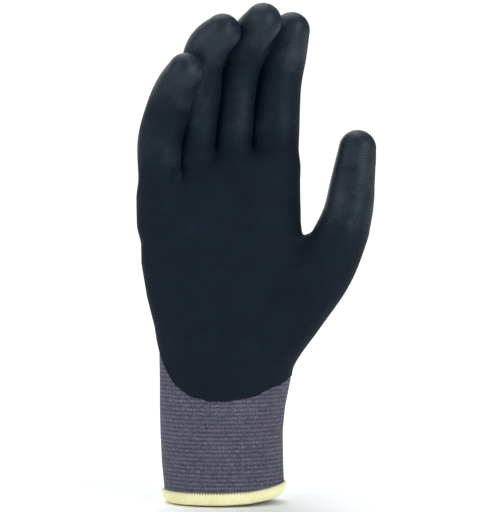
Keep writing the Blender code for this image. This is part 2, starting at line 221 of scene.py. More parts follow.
def smooth_min(a, b, k):
    h = np.clip(0.5 + 0.5 * (b - a) / k, 0, 1)
    return b + (a - b) * h - k * h * (1 - h)


def smooth_step(low, high, x):
    t = np.clip((x - low) / (high - low), 0, 1)
    return t * t * (3 - 2 * t)


def outline_at(p):
    """Outline values at points, whose heights are first corrected for the slope of the rows."""
    height = p[:, 2].copy()
    for _ in range(2):
        height = p[:, 2] - np.interp(height, OUTLINE[:, 0], OUTLINE[:, 1]) * p[:, 0]
    return [np.interp(height, OUTLINE[:, 0], OUTLINE[:, c]) for c in range(2, 7)]


def palm_field(p):
    left, right, half_y, centre_y, power = outline_at(p)
    centre_x = (left + right) / 2
    half_x = (right - left) / 2
    x = p[:, 0] - centre_x
    y = p[:, 1] - centre_y
    level = ((np.abs(x) / half_x) ** power + (np.abs(y) / half_y) ** power) ** (1 / power)
    reach = np.sqrt(x * x + y * y)
    side = (level - 1) * np.minimum(half_y * 1.2, reach / np.maximum(level, 1e-3))
    top = p[:, 2] - np.interp(p[:, 0], CROWN[:, 0], CROWN[:, 1])
    return -smooth_min(-side, -top, CROWN_SOFT)


def fold_depth(p):
    total = np.zeros(len(p))
    for start, end, depth, width in FOLDS:
        start = np.array(start)
        way = np.array(end) - start
        t = np.clip((p - start) @ way / (way @ way), 0, 1)
        away = p - start - t[:, None] * way
        total += depth * np.exp(-np.sum(away * away, axis=1) / width**2)
    return total


def smooth_line(rows):
    """A fine polyline through the rows of x, y, z and radius."""
    rows = np.array(rows, float)
    ends = np.concatenate([[2 * rows[0] - rows[1]], rows, [2 * rows[-1] - rows[-2]]])
    line = []
    for k in range(len(rows) - 1):
        a, b, c, d = ends[k : k + 4]
        count = max(2, round(np.linalg.norm(c[:3] - b[:3]) / LINE_STEP))
        for t in np.arange(count) / count:
            bend, twist = 2 * a - 5 * b + 4 * c - d, 3 * b - a - 3 * c + d
            line.append((2 * b + (c - a) * t + bend * t**2 + twist * t**3) / 2)
    line.append(rows[-1])
    return np.array(line)


class Limb:
    """A finger or thumb: its curved centre line, its hinge planes and its field."""

    def __init__(self, name):
        self.name = name
        line = smooth_line(LIMB_LINES[name])
        self.points = line[:, :3]
        self.radii = line[:, 3]
        turn = math.radians(LIMB_TURNS[name])
        self.across = np.array((math.cos(turn), math.sin(turn), 0))
        steps = np.diff(self.points, axis=0)
        self.lengths = np.linalg.norm(steps, axis=1)
        self.steps = steps / self.lengths[:, None]
        self.starts = np.concatenate(([0], np.cumsum(self.lengths)))
        self.low = (self.points - self.radii[:, None]).min(axis=0) - LIMB_REACH
        self.high = (self.points + self.radii[:, None]).max(axis=0) + LIMB_REACH
        thumb = name == "thumb"
        self.root_band = THUMB_ROOT_BAND if thumb else ROOT_BAND
        self.wales = THUMB_WALES if thumb else FINGER_WALES
        self.first_course = self.points[0, 2]
        self.joints = []
        self.bodies = []
        for joint in frame["joints"]:
            if joint["child"].split("_")[0] == name:
                at = np.array(joint["pos_m"]) / MM
                axis = np.array(joint["axis"], float)
                near = np.linalg.norm(self.points - at, axis=1).argmin()
                normal = self.steps[min(near, len(self.steps) - 1)]
                normal = normal - axis * (normal @ axis)
                self.joints.append((at, normal / np.linalg.norm(normal)))
                self.bodies.append((joint["parent"], joint["child"]))

    def field(self, p, thin=False):
        """Signed distance to the limb, or to its thinner form; FAR where it isn't near."""
        shrink = SHRINK[self.name] if thin else 0.0
        total = np.full(len(p), FAR)
        near = np.all((p > self.low) & (p < self.high), axis=1)
        if near.any():
            q = p[near]
            best = np.full(len(q), FAR)
            for k, length in enumerate(self.lengths):
                rel = q - self.points[k]
                along = np.clip(rel @ self.steps[k], 0, length)
                radius = self.radii[k] + (self.radii[k + 1] - self.radii[k]) * along / length
                away = rel - along[:, None] * self.steps[k]
                best = np.minimum(best, np.sqrt(np.einsum("ij,ij->i", away, away)) - radius)
            total[near] = best + shrink
        return total

    def along(self, p):
        """Distance along the centre line, offset from it and its direction, for each point."""
        best = np.full(len(p), np.inf)
        where = np.zeros(len(p))
        offset = np.zeros((len(p), 3))
        step = np.zeros((len(p), 3))
        last = len(self.lengths) - 1
        for k, length in enumerate(self.lengths):
            rel = p - self.points[k]
            t = rel @ self.steps[k]
            t = np.clip(t, -np.inf if k == 0 else 0, np.inf if k == last else length)
            away = rel - t[:, None] * self.steps[k]
            gap = np.einsum("ij,ij->i", away, away)
            near = gap < best
            best = np.where(near, gap, best)
            where = np.where(near, self.starts[k] + t, where)
            offset[near] = away[near]
            step[near] = self.steps[k]
        return where, offset, step

    def around(self, p):
        """Distance along the centre line, and the offset from it across and toward the palm side."""
        where, offset, step = self.along(p)
        across = self.across - step * (step @ self.across)[:, None]
        across /= np.linalg.norm(across, axis=1)[:, None]
        palmar = np.cross(across, step)
        return where, np.sum(offset * across, axis=1), np.sum(offset * palmar, axis=1)

    def station(self, joint, p):
        """Signed distance of points from a hinge's middle plane, toward the tip."""
        at, normal = self.joints[joint]
        return (p - at) @ normal


limbs = {name: Limb(name) for name in LIMBS}


def web_width(name, p):
    """How softly a limb grows out of the palm."""
    if name == "thumb":
        return np.interp(p[:, 2], THUMB_WEB[:, 0], THUMB_WEB[:, 1])
    return np.full(len(p), FINGER_WEB)


def limb_fields(p, thin=False):
    return np.stack([limbs[name].field(p, thin) for name in LIMBS], axis=1)


def skin_field(p, owner=None, thin=False):
    """The whole glove, or each point's own limb joined to the palm."""
    palm = palm_field(p)
    fields = limb_fields(p, thin)
    joined = np.stack(
        [smooth_min(palm, fields[:, i], web_width(name, p)) for i, name in enumerate(LIMBS)], axis=1
    )
    folds = fold_depth(p)
    if owner is None:
        return joined.min(axis=1) + folds
    return joined[np.arange(len(p)), owner] + folds


def gradient(p, owner):
    """The field at points on or near their own limbs, and its slope."""
    h = 0.05
    base = skin_field(p, owner)
    out = np.empty_like(p)
    for axis in range(3):
        moved = p.copy()
        moved[:, axis] += h
        out[:, axis] = (skin_field(moved, owner) - base) / h
    return base, out


def surface_net(low, high, step):
    """A closed quad mesh of the thinned field: one vertex in each cell that it crosses."""
    block = 4  # the field is sampled once to a block, and in full only in blocks near the skin
    blocks = tuple(int(math.ceil((b - a) / (block * step))) for a, b in zip(low, high))
    shape = tuple(block * n for n in blocks)
    low = np.array(low, float)
    starts = (np.arange(n) * block for n in blocks)
    corners = np.stack(np.meshgrid(*starts, indexing="ij"), axis=-1).reshape(-1, 3)
    coarse = skin_field(low + (corners + (block - 1) / 2) * step, thin=True)
    grid = np.empty(shape, np.float32)
    grid[:] = coarse.reshape(blocks).repeat(block, 0).repeat(block, 1).repeat(block, 2)
    near = corners[np.abs(coarse) < block * step * 1.5]
    for place in np.ndindex(block, block, block):
        at = near + np.array(place)
        grid[tuple(at.T)] = skin_field(low + at * step, thin=True)
    inside = grid < 0
    cells = tuple(n - 1 for n in shape)
    total = np.zeros(cells + (3,))
    count = np.zeros(cells)
    crossings = []
    for axis in range(3):
        head = [slice(None)] * 3
        tail = [slice(None)] * 3
        head[axis] = slice(0, -1)
        tail[axis] = slice(1, None)
        a, b = grid[tuple(head)], grid[tuple(tail)]
        cross = inside[tuple(head)] != inside[tuple(tail)]
        part = np.where(cross, a / np.where(a == b, 1, a - b), 0)
        others = [k for k in range(3) if k != axis]
        for d0 in (0, 1):
            for d1 in (0, 1):
                pick = [slice(None)] * 3
                pick[others[0]] = slice(d0, d0 + cells[others[0]])
                pick[others[1]] = slice(d1, d1 + cells[others[1]])
                mask = cross[tuple(pick)]
                count += mask
                total[..., axis] += np.where(mask, part[tuple(pick)], 0)
                total[..., others[0]] += mask * d0
                total[..., others[1]] += mask * d1
        crossings.append((cross, inside[tuple(head)]))
    active = count > 0
    number = np.full(cells, -1)
    number[active] = np.arange(active.sum())
    corner = np.stack(np.nonzero(active), axis=1)
    verts = (corner + total[active] / count[active][:, None]) * step + low
    quads = []
    for axis, (cross, first_inside) in enumerate(crossings):
        others = [(axis + 1) % 3, (axis + 2) % 3]
        at = np.stack(np.nonzero(cross), axis=1)
        fits = np.all([(at[:, o] > 0) & (at[:, o] < cells[o]) for o in others], axis=0)
        at = at[fits]
        ring = []
        for d0, d1 in ((-1, -1), (0, -1), (0, 0), (-1, 0)):
            cell = at.copy()
            cell[:, others[0]] += d0
            cell[:, others[1]] += d1
            ring.append(number[tuple(cell.T)])
        ring = np.stack(ring, axis=1)
        flip = ~first_inside[tuple(at.T)]
        ring[flip] = ring[flip][:, ::-1]
        quads.append(ring)
    return verts, np.concatenate(quads)


def vertex_normals(verts, faces):
    a, b, c, d = (verts[faces[:, k]] for k in range(4))
    each = np.cross(c - a, d - b)
    normals = np.zeros_like(verts)
    for k in range(4):
        np.add.at(normals, faces[:, k], each)
    return normals / np.maximum(np.linalg.norm(normals, axis=1), 1e-12)[:, None]


def neighbour_mean(verts, faces):
    total = np.zeros_like(verts)
    count = np.zeros(len(verts))
    for k in range(4):
        a, b = faces[:, k], faces[:, (k + 1) % 4]
        np.add.at(total, a, verts[b])
        np.add.at(total, b, verts[a])
        np.add.at(count, a, 1)
        np.add.at(count, b, 1)
    return total / count[:, None]


def make_skin():
    """The skin's vertices on the field, its quads, and the limb nearest to each vertex."""
    verts, faces = surface_net(*SKIN_BOX, VOXEL)
    owner = limb_fields(verts, thin=True).argmin(axis=1)
    for turn in range(RELAX_TURNS + 1):
        if turn < RELAX_TURNS:
            normal = vertex_normals(verts, faces)
            shift = neighbour_mean(verts, faces) - verts
            shift -= normal * np.sum(shift * normal, axis=1)[:, None]
            verts = verts + shift * RELAX_SHARE
        value, slope = gradient(verts, owner)
        size = np.maximum(np.sum(slope * slope, axis=1), 0.2)
        move = slope * (value / size)[:, None]
        length = np.linalg.norm(move, axis=1)
        move *= np.minimum(1, LONGEST_MOVE / np.maximum(length, 1e-9))[:, None]
        verts = verts - move
    return verts, faces, owner


# ---- knit coordinates and the coating's edge ----------------------------------------------------


def waves(p, count, size, seed):
    """Smooth seeded noise between about -1 and 1."""
    random = np.random.default_rng(seed)
    total = np.zeros(len(p))
    for _ in range(count):
        way = random.normal(size=3)
        way /= np.linalg.norm(way)
        pace = 2 * math.pi / (size * random.uniform(0.7, 1.6))
        total += np.sin(p @ way * pace + random.uniform(0, 6.28))
    return total / math.sqrt(count)


def ellipse_turn(x, y, half_x, half_y):
    """Share of the way round an oval section, 0 to 1, by length along its edge."""
    angle = np.arctan2(y / half_y, x / half_x)
    table = np.linspace(-math.pi, math.pi, 721)
    speed = np.sqrt((WALE_OVAL[0] * np.sin(table)) ** 2 + (WALE_OVAL[1] * np.cos(table)) ** 2)
    length = np.concatenate(([0], np.cumsum((speed[1:] + speed[:-1]) / 2)))
    return np.interp(angle, table, length / length[-1])


def palm_coordinates(p):
    """Wale number and height in the palm's knit, which follows the thumb's line near the thumb."""
    left, right, half_y, centre_y, _ = outline_at(p)
    x = p[:, 0] - (left + right) / 2
    wale = WALES * ellipse_turn(x, p[:, 1] - centre_y, (right - left) / 2, half_y)
    thumb = limbs["thumb"]
    where, _, _ = thumb.along(p)
    share = smooth_step(-4, 10, palm_field(p) - thumb.field(p))
    course = p[:, 2] * (1 - share) + (where + thumb.first_course) * share
    return wale, course


def limb_coordinates(limb, p):
    where, across, palmar = limb.around(p)
    angle = np.arctan2(across, palmar)
    return limb.wales * (angle / (2 * math.pi) + 0.5), where + limb.first_course


def coat_field(p):
    """Above 0 where the glove is coated."""
    wobble = waves(p, 8, 34, SEED) * 0.8 + waves(p, 8, 6, SEED + 1) * 0.12
    value = np.interp(p[:, 0], COAT_BACK[:, 0], COAT_BACK[:, 1]) - p[:, 1]
    for limb in limbs.values():
        where, _, palmar = limb.around(p)
        radius = np.interp(where, limb.starts, limb.radii)
        own = palmar + COAT_WRAP * radius
        tip = (where - limb.starts[-1] + COAT_TIP) * COAT_TIP_SLOPE
        own = -smooth_min(-own, -tip, 6)
        share = smooth_step(-20, -2, limb.station(0, p)) * smooth_step(6, 1, limb.field(p))
        value = value * (1 - share) + own * share
    value = value + wobble
    lower = p[:, 2] - np.interp(p[:, 0], COAT_LOWER[:, 0], COAT_LOWER[:, 1])
    lower = lower + waves(p, 6, 9, SEED + 2) * 0.35
    return smooth_min(value, lower, 4)


# ---- clipping -----------------------------------------------------------------------------------


class Patch:
    """Polygons with a label each, over a shared table of vertices and their normals."""

    def __init__(self, verts, normals, faces, labels):
        self.verts = verts
        self.normals = normals
        self.faces = faces
        self.labels = labels

    def clip(self, value):
        """The parts where a vertex value is above 0 and where it isn't."""
        cuts = {}
        new_verts, new_normals = [], []

        def crossing(a, b):
            key = (a, b) if a < b else (b, a)
            if key not in cuts:
                t = value[key[0]] / (value[key[0]] - value[key[1]])
                cuts[key] = len(self.verts) + len(new_verts)
                new_verts.append(self.verts[key[0]] * (1 - t) + self.verts[key[1]] * t)
                normal = self.normals[key[0]] * (1 - t) + self.normals[key[1]] * t
                new_normals.append(normal / np.linalg.norm(normal))
            return cuts[key]

        above, below = ([], []), ([], [])
        positive = value > 0
        for face, label in zip(self.faces, self.labels):
            signs = [positive[v] for v in face]
            if all(signs):
                above[0].append(face)
                above[1].append(label)
                continue
            if not any(signs):
                below[0].append(face)
                below[1].append(label)
                continue
            up, down = [], []
            for k, v in enumerate(face):
                (up if signs[k] else down).append(v)
                nxt = (k + 1) % len(face)
                if signs[k] != signs[nxt]:
                    point = crossing(v, face[nxt])
                    up.append(point)
                    down.append(point)
            for side, polygon in ((above, up), (below, down)):
                if len(polygon) > 2:
                    side[0].append(tuple(polygon))
                    side[1].append(label)
        verts = np.concatenate([self.verts, np.array(new_verts).reshape(-1, 3)])
        normals = np.concatenate([self.normals, np.array(new_normals).reshape(-1, 3)])
        return tuple(Patch(verts, normals, faces, labels) for faces, labels in (above, below))

    def compact(self):
        used = sorted({v for face in self.faces for v in face})
        number = {v: i for i, v in enumerate(used)}
        faces = [tuple(number[v] for v in face) for face in self.faces]
        return Patch(self.verts[used], self.normals[used], faces, self.labels)

    def flipped(self):
        return Patch(self.verts, self.normals, [face[::-1] for face in self.faces], self.labels)

    def plus(self, other):
        shift = len(self.verts)
        faces = list(self.faces) + [tuple(v + shift for v in face) for face in other.faces]
        verts = np.concatenate([self.verts, other.verts])
        normals = np.concatenate([self.normals, other.normals])
        return Patch(verts, normals, faces, list(self.labels) + list(other.labels))

    def subset(self, keep):
        faces = [f for f, k in zip(self.faces, keep) if k]
        labels = [v for v, k in zip(self.labels, keep) if k]
        return Patch(self.verts, self.normals, faces, labels)


def face_labels(verts, faces, owner):
    """Which limb a face's knit belongs to; -1 is the palm."""
    centres = verts[faces].mean(axis=1)
    labels = np.full(len(faces), -1)
    nearest = owner[faces[:, 0]]
    for i, name in enumerate(LIMBS):
        limb = limbs[name]
        near = limb.field(centres) < 3
        labels[(nearest == i) & near & (limb.station(0, centres) > limb.root_band[0] - 0.5)] = i
    return labels


def add_mesh(name, patch, material):
    """A Blender mesh of a patch, with its knit coordinates and its own normals."""
    patch = patch.compact()
    mesh = bpy.data.meshes.new(name)
    mesh.from_pydata((patch.verts * MM).tolist(), [], patch.faces)
    wale, course = palm_coordinates(patch.verts)
    tables = [(wale, course, WALES)]
    for limb in limbs.values():
        tables.append((*limb_coordinates(limb, patch.verts), limb.wales))
    uv = mesh.uv_layers.new(name="knit")
    values = np.zeros((len(mesh.loops), 2), np.float32)
    at = 0
    for face, label in zip(patch.faces, patch.labels):
        wales, courses, around = tables[label + 1]
        us = [wales[v] for v in face]
        high = max(us)
        us = [u + around if high - u > around / 2 else u for u in us]
        for k, v in enumerate(face):
            values[at + k] = (us[k], courses[v])
        at += len(face)
    uv.data.foreach_set("uv", values.ravel())
    # Per vertex share of the coating's gloss and of its painted highlight.
    gloss_and_painted_highlight = mesh.attributes.new("gloss_and_painted_highlight", "FLOAT", "POINT")
    gloss_and_painted_highlight.data.foreach_set("value", gloss_and_painted_highlight_at(patch.verts).astype(np.float32))
    mesh.polygons.foreach_set("use_smooth", [True] * len(mesh.polygons))
    mesh.normals_split_custom_set_from_vertices(patch.normals.tolist())
    mesh.materials.append(material)
    obj = bpy.data.objects.new(name, mesh)
    bpy.context.collection.objects.link(obj)
    return obj


def gloss_and_painted_highlight_at(p):
    """0 over the palm, up to 1 where the coating is pulled tight: fingertips and whole thumb. It sets
    the coating's gloss and its painted highlight.
    """
    total = np.zeros(len(p))
    for name, limb in limbs.items():
        share = smooth_step(-22 if name == "thumb" else -8, 8, limb.station(0, p))
        if name != "thumb":
            where, _, _ = limb.along(p)
            to_tip = limb.starts[-1] - where
            share *= np.interp(to_tip, TIP_GLOSS_AND_HIGHLIGHT[:, 0], TIP_GLOSS_AND_HIGHLIGHT[:, 1])
        total = np.maximum(total, share * smooth_step(7, 1, limb.field(p)))
    return total


# ---- materials ------------------------------------------------------------------------------------


class Nodes:
    """Small helper to write node trees as expressions."""

    def __init__(self, name):
        self.material = bpy.data.materials.new(name)
        self.material.use_nodes = True
        self.tree = self.material.node_tree
        self.shader = self.tree.nodes["Principled BSDF"]
        self.place = -200

    def add(self, kind, **settings):
        node = self.tree.nodes.new(kind)
        node.location = (self.place, 300)
        self.place -= 160
        for key, value in settings.items():
            setattr(node, key, value)
        return node

    def feed(self, socket, value):
        if isinstance(value, bpy.types.NodeSocket):
            self.tree.links.new(value, socket)
        else:
            socket.default_value = value

    def math(self, operation, a, b=0.0, c=0.0):
        node = self.add("ShaderNodeMath", operation=operation)
        for socket, value in zip(node.inputs, (a, b, c)):
            self.feed(socket, value)
        return node.outputs[0]

    def noise(self, vector, scale, detail=2.0, rough=0.5):
        node = self.add("ShaderNodeTexNoise")
        self.feed(node.inputs["Vector"], vector)
        node.inputs["Scale"].default_value = scale
        node.inputs["Detail"].default_value = detail
        node.inputs["Roughness"].default_value = rough
        return node.outputs["Fac"]

    def ramp(self, factor, stops):
        node = self.add("ShaderNodeValToRGB")
        self.feed(node.inputs["Fac"], factor)
        elements = node.color_ramp.elements
        while len(elements) < len(stops):
            elements.new(0.5)
        for element, (place, colour) in zip(elements, stops):
            element.position = place
            element.color = tuple(colour) + (1,)
        return node.outputs["Color"]

    def mix(self, factor, a, b, mode="MIX"):
        node = self.add("ShaderNodeMix", data_type="RGBA", blend_type=mode)
        self.feed(node.inputs["Factor"], factor)
        self.feed(node.inputs["A"], a if isinstance(a, bpy.types.NodeSocket) else tuple(a) + (1,))
        self.feed(node.inputs["B"], b if isinstance(b, bpy.types.NodeSocket) else tuple(b) + (1,))
        return node.outputs["Result"]

    def bump(self, height, strength, distance):
        node = self.add("ShaderNodeBump")
        self.feed(node.inputs["Height"], height)
        node.inputs["Strength"].default_value = strength
        node.inputs["Distance"].default_value = distance
        self.tree.links.new(node.outputs["Normal"], self.shader.inputs["Normal"])

    def wave(self, value):
        """A cosine of whole turns, from 0 to 1."""
        turns = self.math("MULTIPLY", value, 2 * math.pi)
        return self.math("MULTIPLY_ADD", self.math("COSINE", turns), 0.5, 0.5)

    def knit(self):
        """Wale count and course count from the knit coordinates."""
        node = self.add("ShaderNodeUVMap", uv_map="knit")
        split = self.add("ShaderNodeSeparateXYZ")
        self.tree.links.new(node.outputs["UV"], split.inputs[0])
        return split.outputs["X"], self.math("DIVIDE", split.outputs["Y"], COURSE)

    def object_space(self):
        return self.add("ShaderNodeTexCoord").outputs["Object"]


def knit_material():
    """Plain knit: slanted legs in columns, a dark dash between stitches, and speckled yarn. The colour
    is painted lighter on the raised legs and darker in the dash, as shade in the knit's gaps.
    """
    nodes = Nodes("knit_yarn")
    wale, course = nodes.knit()
    place = nodes.object_space()
    row_number = nodes.math("FLOOR", course)
    shifted = nodes.math("MULTIPLY_ADD", row_number, 0.5, wale)
    across = nodes.math("SUBTRACT", nodes.math("FRACT", shifted), 0.5)
    leg = nodes.math("ABSOLUTE", across)
    slant = nodes.math("MULTIPLY_ADD", leg, -0.5, course)
    row = nodes.wave(slant)
    column = nodes.math("SINE", nodes.math("MULTIPLY", leg, 2 * math.pi))
    dip = nodes.math("MULTIPLY_ADD", row, -0.25, 1.0)
    legs = nodes.math("MULTIPLY", nodes.math("POWER", column, 0.7), dip)
    gap = nodes.math("POWER", row, 2.5)
    middle = nodes.math("POWER", nodes.wave(across), 1.5)
    dash_and_shade = nodes.math("MULTIPLY", gap, nodes.math("MULTIPLY_ADD", middle, 0.95, 0.05))

    cell = nodes.add("ShaderNodeCombineXYZ")
    nodes.feed(cell.inputs[0], nodes.math("FLOOR", shifted))
    nodes.feed(cell.inputs[1], row_number)
    chance = nodes.add("ShaderNodeTexWhiteNoise", noise_dimensions="2D")
    nodes.feed(chance.inputs["Vector"], cell.outputs[0])
    speckle = nodes.noise(place, 1500.0, 2.0, 0.6)
    soft = nodes.noise(place, 70.0, 3.0)

    # Painted shade: the colour follows the relief, lighter on the raised legs and darkest in the dash
    # between stitches.
    light = nodes.math("MULTIPLY_ADD", legs, 0.30, 0.33)
    light = nodes.math("MULTIPLY_ADD", nodes.math("SUBTRACT", speckle, 0.5), 1.5, light)
    light = nodes.math("MULTIPLY_ADD", nodes.math("SUBTRACT", chance.outputs["Value"], 0.5), 0.12, light)
    light = nodes.math("MULTIPLY_ADD", dash_and_shade, -0.72, light)
    colour = nodes.ramp(
        light,
        [
            (0.0, (0.022, 0.022, 0.034)), (0.30, (0.060, 0.058, 0.082)),
            (0.55, (0.094, 0.091, 0.122)), (0.95, (0.200, 0.196, 0.235)),
        ],
    )
    tint = nodes.ramp(soft, [(0.35, (0.93, 0.91, 0.94)), (0.65, (1.05, 1.06, 1.10))])
    nodes.feed(nodes.shader.inputs["Base Color"], nodes.mix(1.0, colour, tint, "MULTIPLY"))
    nodes.shader.inputs["Roughness"].default_value = 0.9
    nodes.shader.inputs["Specular IOR Level"].default_value = 0.15
    nodes.shader.inputs["Sheen Weight"].default_value = 0.12
    nodes.shader.inputs["Sheen Roughness"].default_value = 0.4
    relief = nodes.math("MULTIPLY_ADD", dash_and_shade, -1.0, nodes.math("MULTIPLY_ADD", speckle, 0.5, legs))
    nodes.bump(relief, 0.6, 0.0004)
    return nodes.material


def coating_material():
    """Matt foam with the knit's ridges showing through, smoother where it is tight and paler there: a
    painted highlight on thumb and fingertips, partly the thinner stretched coat.
    """
    nodes = Nodes("nitrile_foam")
    wale, course = nodes.knit()
    place = nodes.object_space()
    # Share of gloss, 1 on thumb and fingertips; below it also paints a highlight into the colour.
    kind = nodes.add("ShaderNodeAttribute", attribute_name="gloss_and_painted_highlight").outputs["Fac"]
    drift = nodes.noise(place, 55.0, 2.0)
    course = nodes.math("MULTIPLY_ADD", drift, 1.2, course)
    rows = nodes.math("SINE", nodes.math("MULTIPLY", course, 2 * math.pi * COURSE / RIDGE))
    columns = nodes.math("SINE", nodes.math("MULTIPLY", wale, 2 * math.pi))
    fine = nodes.noise(place, 1400.0, 2.0)
    grain = nodes.noise(place, 420.0, 3.0, 0.6)
    soft = nodes.noise(place, 70.0, 3.0)
    ridge = nodes.math(
        "ADD",
        nodes.math("MULTIPLY", columns, nodes.math("MULTIPLY_ADD", kind, 0.06, 0.08)),
        nodes.math("MULTIPLY", rows, nodes.math("MULTIPLY_ADD", kind, -0.10, 0.26)),
    )
    height = nodes.math("MULTIPLY_ADD", fine, 0.9, nodes.math("MULTIPLY_ADD", grain, 0.7, ridge))
    tone = nodes.math("MULTIPLY_ADD", grain, 0.35, nodes.math("MULTIPLY", soft, 0.65))
    tone = nodes.math("MULTIPLY_ADD", ridge, 0.10, tone)
    # Painted highlight: the base colour is lighter where the gloss share is high, partly standing for
    # the thinner stretched coat.
    tone = nodes.math("MULTIPLY_ADD", kind, 0.34, tone)
    colour = nodes.ramp(
        tone,
        [
            (0.32, (0.0013, 0.0034, 0.0082)), (0.66, (0.0030, 0.0066, 0.0130)),
            (1.0, (0.022, 0.028, 0.037)),
        ],
    )
    nodes.feed(nodes.shader.inputs["Base Color"], colour)
    rough = nodes.math("MULTIPLY_ADD", kind, -0.35, 0.69)
    rough = nodes.math("MULTIPLY_ADD", ridge, -0.35, rough)
    nodes.feed(nodes.shader.inputs["Roughness"], nodes.math("MULTIPLY_ADD", fine, 0.10, rough))
    nodes.shader.inputs["Specular IOR Level"].default_value = 0.18
    nodes.shader.inputs["Specular Tint"].default_value = (0.72, 0.86, 1.0, 1)
    nodes.bump(height, 0.7, 0.00018)
    return nodes.material


def hem_material():
    nodes = Nodes("overlock_thread")
    place = nodes.object_space()
    fibre = nodes.noise(place, 2200.0, 2.0)
    tone = nodes.noise(place, 120.0, 2.0)
    colour = nodes.ramp(
        nodes.math("MULTIPLY_ADD", fibre, 0.5, nodes.math("MULTIPLY", tone, 0.5)),
        [(0.3, (0.74, 0.69, 0.35)), (0.7, (0.91, 0.89, 0.55))],
    )
    nodes.feed(nodes.shader.inputs["Base Color"], colour)
    nodes.shader.inputs["Roughness"].default_value = 0.8
    nodes.shader.inputs["Sheen Weight"].default_value = 0.2
    nodes.bump(fibre, 0.5, 0.0002)
    return nodes.material


def elastic_material():
    nodes = Nodes("covered_elastic")
    place = nodes.object_space()
    fibre = nodes.noise(place, 2600.0, 2.0)
    colour = nodes.ramp(fibre, [(0.3, (0.30, 0.29, 0.30)), (0.7, (0.62, 0.60, 0.60))])
    nodes.feed(nodes.shader.inputs["Base Color"], colour)
    nodes.shader.inputs["Roughness"].default_value = 0.7
    nodes.bump(fibre, 0.5, 0.0001)
    return nodes.material


# ---- pieces ---------------------------------------------------------------------------------------


def rim_patch(patch, depth):
    """The patch with a folded-in band along its open edges."""
    sides = {}
    for face, label in zip(patch.faces, patch.labels):
        for k, v in enumerate(face):
            sides[(v, face[(k + 1) % len(face)])] = label
    edges = [(a, b, label) for (a, b), label in sides.items() if (b, a) not in sides]
    verts = list(patch.verts)
    normals = list(patch.normals)
    faces = list(patch.faces)
    labels = list(patch.labels)
    inner = {}
    for a, b, label in edges:
        for v in (a, b):
            if v not in inner:
                inner[v] = len(verts)
                verts.append(patch.verts[v] - patch.normals[v] * depth)
                normals.append(patch.normals[v])
        faces.append((b, a, inner[a], inner[b]))
        labels.append(label)
    return Patch(np.array(verts), np.array(normals), faces, labels)


def cut_limbs(patch):
    """Splits a patch into palm with cuff, and each limb's parts, where no hinge bends the skin."""
    parts = {}
    rest = patch
    for i, name in enumerate(LIMBS):
        limb = limbs[name]
        own = np.array([label == i for label in rest.labels])
        mine = rest.subset(own)
        others = rest.subset(~own)
        above, root = mine.clip(limb.station(0, mine.verts) - limb.root_band[0])
        rest = Patch(root.verts, root.normals, others.faces + root.faces, others.labels + root.labels)
        rows = []
        for k in range(1, len(limb.joints)):
            (before, low_normal), (after, high_normal) = limb.joints[k - 1], limb.joints[k]
            low = before + low_normal * (limb.root_band if k == 1 else JOINT_BAND)[1]
            high = after + high_normal * JOINT_BAND[0]
            normal = low_normal + high_normal
            rows.append(((low + high) / 2, normal / np.linalg.norm(normal)))
        for number, (at, normal) in enumerate(rows):
            upper, lower = above.clip((above.verts - at) @ normal)
            parts[(name, number)] = lower
            above = upper
        parts[(name, len(rows))] = above
    return rest, parts


def blend_limb(obj, name, number):
    """Bakes a piece's transform, and returns the body beyond its limb's hinge."""
    parent, child = limbs[name].bodies[number]
    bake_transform(obj)
    return child


def blend_hinge(obj, name):
    """Works out the middle plane of the wrist or the knuckle line, which faces along the palm, and bakes
    a piece's transform.
    """
    joint = next(j for j in frame["joints"] if j["name"] == name)
    normal = np.cross(joint["axis"], (0, 1, 0))
    normal = normal / np.linalg.norm(normal)
    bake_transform(obj)


def make_layer(layer, patch, material):
    """Cuts one layer of the glove into pieces and hides the CAD parts of that layer."""
    rest, parts = cut_limbs(patch)
    upper, cuff = rest.clip(rest.verts[:, 2] - CUFF_CUT)
    obj = add_mesh(f"cuff_{layer}_skin", cuff, material)
    blend_hinge(obj, "wrist")
    if layer == "liner":
        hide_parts("cuff_liner")
    obj = add_mesh(f"palm_{layer}_skin", upper, material)
    blend_hinge(obj, "knuckle_line")
    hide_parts(f"palm_{layer}", f"knuckle_{layer}")
    for (name, number), part in parts.items():
        obj = add_mesh(f"{name}_{number}_{layer}_skin", part, material)
        body = blend_limb(obj, name, number)
        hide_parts(f"{body}_{layer}")


def make_glove():
    """Clips the skin into its coating and its knit with the cuff's inner wall, and cuts both."""
    verts, faces, owner = make_skin()
    normals = vertex_normals(verts, faces)
    labels = face_labels(verts, faces, owner)
    skin = Patch(verts, normals, [tuple(f) for f in faces], list(labels))
    skin, _ = skin.clip(skin.verts[:, 2] - CUFF_END - hem_lift(skin.verts[:, 0]))
    coat, _ = skin.clip(coat_field(skin.verts))
    coat = rim_patch(coat.compact(), COAT_RIM)
    knit = Patch(skin.verts - skin.normals * KNIT_SINK, skin.normals, skin.faces, skin.labels)
    _, inner = skin.clip(skin.verts[:, 2] - INNER_TOP)
    inward = inner.verts - inner.normals * (KNIT_SINK + LINER_WALL)
    inner = Patch(inward, -inner.normals, inner.faces, inner.labels)
    knit = knit.plus(inner.flipped())
    make_layer("coating", coat, coating_material())
    make_layer("liner", knit, knit_material())


def ring_point(turn, height, offset):
    """A point of the cuff's outline, moved inward by offset, and the way out of it."""
    row = [np.interp(height, OUTLINE[:, 0], OUTLINE[:, c]) for c in range(2, 6)]
    half_x = (row[1] - row[0]) / 2
    half_y = row[2]
    x = half_x * math.cos(turn)
    y = half_y * math.sin(turn)
    out = Vector((x / half_x**2, y / half_y**2, 0)).normalized()
    return Vector(((row[0] + row[1]) / 2 + x, row[3] + y, height)) - out * offset, out


